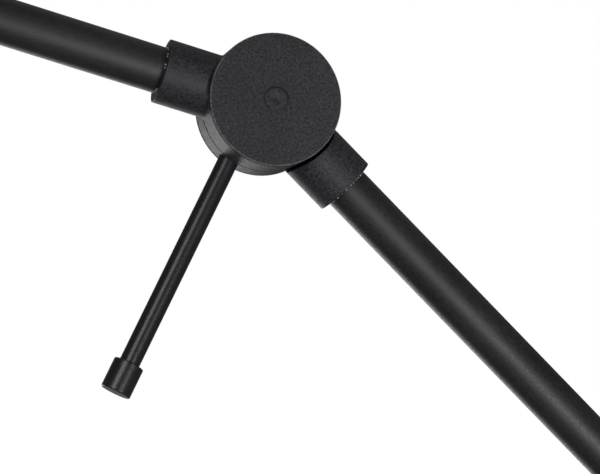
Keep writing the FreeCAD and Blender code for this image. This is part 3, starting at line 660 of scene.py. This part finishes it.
@dataclass
class Knuckle:
    """One drum joint: two cast halves, two covers, its bolt and, where it has one, its lever."""

    prefix: str
    front_body: str
    rear_body: str
    has_lever: bool
    socket_reach: float = 53.0 * MM
    chamfer_start: float = 30.0 * MM

    def dress(self, finishes: Finishes) -> None:
        """Give the knuckle's nodes their finishes.

        Args:
            finishes: the lamp's finishes.
        """
        name = self.prefix
        castings = [f"{name}_{side}_{part}" for side in ("front", "rear") for part in ("half", "cover")]
        dress(castings, finishes.casting)
        for side in ("front", "rear"):
            # The rim chamfers get the lighter coat, a painted highlight.
            edge_faces(f"{name}_{side}_cover", finishes.painted_edge_highlight, self.chamfer_start)
        dress([f"{name}_pivot_bolt", f"{name}_lock_nut", f"{name}_spring_washers"], finishes.zinc)
        dress([f"{name}_front_grub_screw", f"{name}_rear_grub_screw"], finishes.zinc)
        dress([f"{name}_friction_washer"], finishes.acetal)
        if self.has_lever:
            dress([f"{name}_brake_shoe"], finishes.brass)
            dress([f"{name}_lever_rod", f"{name}_lever_cap"], finishes.lever)
            outward = (middle(f"{name}_lever_cap") - middle(f"{name}_lever_rod")).normalized()
            end_faces(f"{name}_lever_cap", finishes.dull_end, outward)

    def mouth(
        self, side: str, towards: Vector, level: float, finishes: Finishes, cover: float, seed: int
    ) -> None:
        """Build the bare line at one socket's mouth.

        Args:
            side: front or rear.
            towards: direction of the socket.
            level: Y of the tube's axis.
            finishes: the lamp's finishes.
            cover: share of the way round that is chipped.
            seed: seed of the chips' sizes.
        """
        centre = joint_spot(f"{self.prefix}_tilt")
        spot = Vector((centre.x, level, centre.z)) + towards * self.socket_reach
        body = self.front_body if side == "front" else self.rear_body
        chips = SocketMouth(f"{self.prefix}_{side}_mouth_chips", spot, towards, body, cover=cover, seed=seed)
        chips.build(finishes)


@dataclass
class Stand:
    """Base, foot and post."""

    def dress(self, finishes: Finishes) -> None:
        """Give the stand's nodes their finishes.

        Args:
            finishes: the lamp's finishes.
        """
        dress(["base_cover"], finishes.sheet)
        dress(["base_weight"], finishes.iron)
        dress(["base_pad"], finishes.felt)
        dress(["base_lead_bush"], finishes.plastic)
        dress(["post_foot"], finishes.casting)
        dress(["post_foot_screws"], finishes.zinc)
        dress(["post_lower_tube", "post_upper_tube"], finishes.tube)
        dress(["post_joiner"], finishes.zinc)


@dataclass
class Arms:
    """The two arm tubes between the knuckles."""

    def dress(self, finishes: Finishes) -> None:
        """Give the arms' tubes their finish."""
        dress(["lower_arm_tube", "upper_arm_tube"], finishes.tube)


@dataclass
class Head:
    """Stem, holder cup, switch, shade and bulb."""

    bead_radius: float = 1.9 * MM
    rib_count: int = 36
    bead_corners: int = 14
    bead_segments: int = 128
    knob_rib: float = 0.3 * MM
    ring_rib: float = 0.45 * MM

    def dress(self, finishes: Finishes) -> None:
        """Give the head's nodes their finishes.

        Args:
            finishes: the lamp's finishes.
        """
        dress(["head_stem"], finishes.tube)
        dress(["holder_cup"], finishes.casting)
        dress(["lamp_holder", "shade_ring", "switch_body", "switch_knob"], finishes.plastic)
        dress(["bulb_base"], finishes.nickel)
        dress(["bulb_globe"], finishes.glass)
        self.dress_shade(finishes)

    def dress_shade(self, finishes: Finishes) -> None:
        """Black outside, white reflector inside.

        Args:
            finishes: the lamp's finishes.
        """
        dress(["shade"], finishes.sheet)
        shade = frame["nodes"]["shade"]
        shade.data.materials.append(finishes.reflector)
        axis = middle("shade")
        for face in shade.data.polygons:
            out = Vector((face.center.x - axis.x, face.center.y - axis.y, 0))
            inward = face.normal.x * out.x + face.normal.y * out.y < -1e-6
            if inward or (face.normal.z < -0.9 and out.length < 0.05):
                face.material_index = 1

    def build(self, finishes: Finishes) -> None:
        """Build the rolled bead at the shade's mouth and the ribs of the knob and ring.

        Args:
            finishes: the lamp's finishes.
        """
        low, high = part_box("shade")
        centre = (low + high) / 2
        radius = (high.x - low.x) / 2 - self.bead_radius
        place = Matrix.Translation(Vector((centre.x, centre.y, low.z + self.bead_radius)))
        turns = [2 * math.pi * step / self.bead_corners for step in range(self.bead_corners)]
        section = [(radius + self.bead_radius * math.cos(t), self.bead_radius * math.sin(t)) for t in turns]
        bead = lathe(section, self.bead_segments, place)
        new_piece("shade_bead", bead, finishes.sheet, "head")
        self.build_knob_ribs(finishes)
        self.build_ring_ribs(finishes)

    def ripple(self, height: float) -> Callable[[int, float], float]:
        """Make the rib shape for a lathed grip.

        Args:
            height: rib height in metres.

        Returns:
            A function of section corner and turn that moves the two outer corners in and out.
        """
        return lambda corner, turn: height * math.cos(turn * self.rib_count) if corner in (1, 2) else 0.0

    def build_knob_ribs(self, finishes: Finishes) -> None:
        """Fine grip ribs round the switch knob."""
        low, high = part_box("switch_knob")
        centre = (low + high) / 2
        radius = (high.x - low.x) / 2
        place = aimed(Vector((centre.x, low.y + 2.2 * MM, centre.z)), Vector((0, 1, 0)))
        section = [
            (radius - 1.5 * MM, 0.0),
            (radius - 0.5 * MM, 0.0),
            (radius - 0.3 * MM, 6 * MM),
            (radius - 1.5 * MM, 6 * MM),
        ]
        grip = lathe(section, self.rib_count * 8, place, self.ripple(self.knob_rib))
        new_piece("switch_knob_ribs", grip, finishes.plastic, "knob")

    def build_ring_ribs(self, finishes: Finishes) -> None:
        """Finger ribs round the shade ring."""
        low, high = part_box("shade_ring")
        centre = (low + high) / 2
        radius = (high.x - low.x) / 2
        place = Matrix.Translation(Vector((centre.x, centre.y, low.z)))
        tall = high.z - low.z
        section = [
            (radius - 1.5 * MM, 0.4 * MM),
            (radius, 0.4 * MM),
            (radius, tall - 0.6 * MM),
            (radius - 1.5 * MM, tall - 0.6 * MM),
        ]
        grip = lathe(section, self.rib_count * 8, place, self.ripple(self.ring_rib))
        new_piece("shade_ring_ribs", grip, finishes.plastic, "head")


@dataclass
class Studio:
    """Camera, lights, pale floor and white surround."""

    lens: float = 138.5
    offset: tuple = (-0.25246, -1.03699, -0.18522)
    forward: tuple = (0.24866, 0.96180, 0.11451)
    sweep: tuple = (-0.24, 0.93, -0.26)
    cove: float = 3.3
    room: float = 0.11
    cove_span: tuple = (0.87, 0.98)
    floor_half: float = 9.0

    def build(self) -> None:
        """Build the studio."""
        self.camera()
        self.floor()
        self.world()
        self.lights()

    def camera(self) -> None:
        """Long lens close to the elbow, looking a little up and to the right."""
        data = bpy.data.cameras.new("camera")
        data.lens = self.lens
        data.sensor_width = 36.0
        data.clip_start, data.clip_end = 0.05, 60.0
        camera = bpy.data.objects.new("camera", data)
        camera.location = joint_spot("elbow_tilt") + Vector(self.offset)
        camera.rotation_mode = "QUATERNION"
        camera.rotation_quaternion = Vector(self.forward).to_track_quat("-Z", "Y")
        bpy.context.scene.collection.objects.link(camera)
        bpy.context.scene.camera = camera

    def floor(self) -> None:
        """Wide pale floor under the base."""
        maker = bmesh.new()
        bmesh.ops.create_grid(maker, x_segments=8, y_segments=8, size=self.floor_half)
        mesh = bpy.data.meshes.new("studio_floor")
        maker.to_mesh(mesh)
        maker.free()
        floor = bpy.data.objects.new("studio_floor", mesh)
        mesh.materials.append(StudioPaint("studio_floor_paint").make())
        bpy.context.scene.collection.objects.link(floor)
        floor.visible_diffuse = floor.visible_glossy = False

    def world(self) -> None:
        """White surround: dim light all round, brighter low behind the lamp, plain white to the camera."""
        world = bpy.data.worlds.new("white_surround")
        bpy.context.scene.world = world
        world.use_nodes = True
        tree = world.node_tree
        tree.nodes.clear()
        way = add_node(tree, "ShaderNodeTexCoord")
        away = add_node(
            tree,
            "ShaderNodeVectorMath",
            {"operation": "DOT_PRODUCT", 1: self.sweep},
            {0: way.outputs["Generated"]},
        )
        cove = add_node(
            tree,
            "ShaderNodeMapRange",
            {
                "From Min": self.cove_span[0],
                "From Max": self.cove_span[1],
                "To Min": self.room,
                "To Max": self.cove,
                "interpolation_type": "SMOOTHSTEP",
            },
            {"Value": away.outputs["Value"]},
        )
        white = linear("#ffffff")
        soft = add_node(tree, "ShaderNodeBackground", {"Color": white}, {"Strength": cove.outputs["Result"]})
        seen = add_node(tree, "ShaderNodeBackground", {"Color": white, "Strength": 1.0})
        path = add_node(tree, "ShaderNodeLightPath")
        mixed = add_node(
            tree,
            "ShaderNodeMixShader",
            links={
                0: path.outputs["Is Camera Ray"],
                1: soft.outputs["Background"],
                2: seen.outputs["Background"],
            },
        )
        add_node(tree, "ShaderNodeOutputWorld", links={"Surface": mixed.outputs["Shader"]})

    def softbox(self, name: str, spot: tuple, aim: Vector, size: tuple, power: float) -> None:
        """Add one rectangular area light.

        Args:
            name: light's name.
            spot: its place in metres.
            aim: point that it faces.
            size: width and height in metres.
            power: watts.
        """
        data = bpy.data.lights.new(name, "AREA")
        data.shape = "RECTANGLE"
        data.size, data.size_y = size
        data.energy = power
        light = bpy.data.objects.new(name, data)
        light.visible_camera = False
        light.location = spot
        light.rotation_mode = "QUATERNION"
        light.rotation_quaternion = (aim - Vector(spot)).to_track_quat("-Z", "Y")
        bpy.context.scene.collection.objects.link(light)

    def lights(self) -> None:
        """Main box low at the front right, a slim one at the front left and a wide weak one overhead."""
        aim = joint_spot("elbow_tilt")
        left = Vector((-0.53, -0.815, 0.234))
        right = Vector((0.24, -0.862, -0.445))
        top = Vector((0.3, 0.5, 0.8))
        self.softbox("right_box", aim + right * 1.5, aim, (0.6, 0.7), 13.0)
        self.softbox("left_box", aim + left * 1.5, aim, (0.6, 0.8), 6.5)
        self.softbox("top_box", aim + top * 2.4, aim, (2.4, 2.4), 4.0)


def main() -> None:
    """Build and dress the lamp, then the studio."""
    logging.basicConfig(level=logging.INFO, format="%(name)s %(message)s")
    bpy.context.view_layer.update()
    finishes = Finishes()
    Stand().dress(finishes)
    Arms().dress(finishes)
    shoulder = Knuckle("shoulder", "stand", "lower_arm", True)
    elbow = Knuckle("elbow", "upper_arm", "lower_arm", True)
    wrist = Knuckle("head", "upper_arm", "head", False)
    for knuckle in (shoulder, elbow, wrist):
        knuckle.dress(finishes)
    lower = (joint_spot("elbow_tilt") - joint_spot("shoulder_tilt")).normalized()
    upper = (joint_spot("head_tilt") - joint_spot("elbow_tilt")).normalized()
    down = Vector((0, 0, -1))
    lower_level, upper_level = middle("lower_arm_tube").y, middle("upper_arm_tube").y
    elbow.mouth("rear", -lower, lower_level, finishes, 0.92, 5)
    elbow.mouth("front", upper, upper_level, finishes, 0.3, 8)
    shoulder.mouth("rear", lower, lower_level, finishes, 0.25, 11)
    shoulder.mouth("front", down, middle("post_upper_tube").y, finishes, 0.25, 12)
    wrist.mouth("front", -upper, upper_level, finishes, 0.25, 14)
    wrist.mouth("rear", down, middle("head_stem").y, finishes, 0.25, 15)
    head = Head()
    head.dress(finishes)
    head.build(finishes)
    Studio().build()
    bpy.context.scene.view_settings.view_transform = "Standard"


if __name__ == "__main__":
    main()
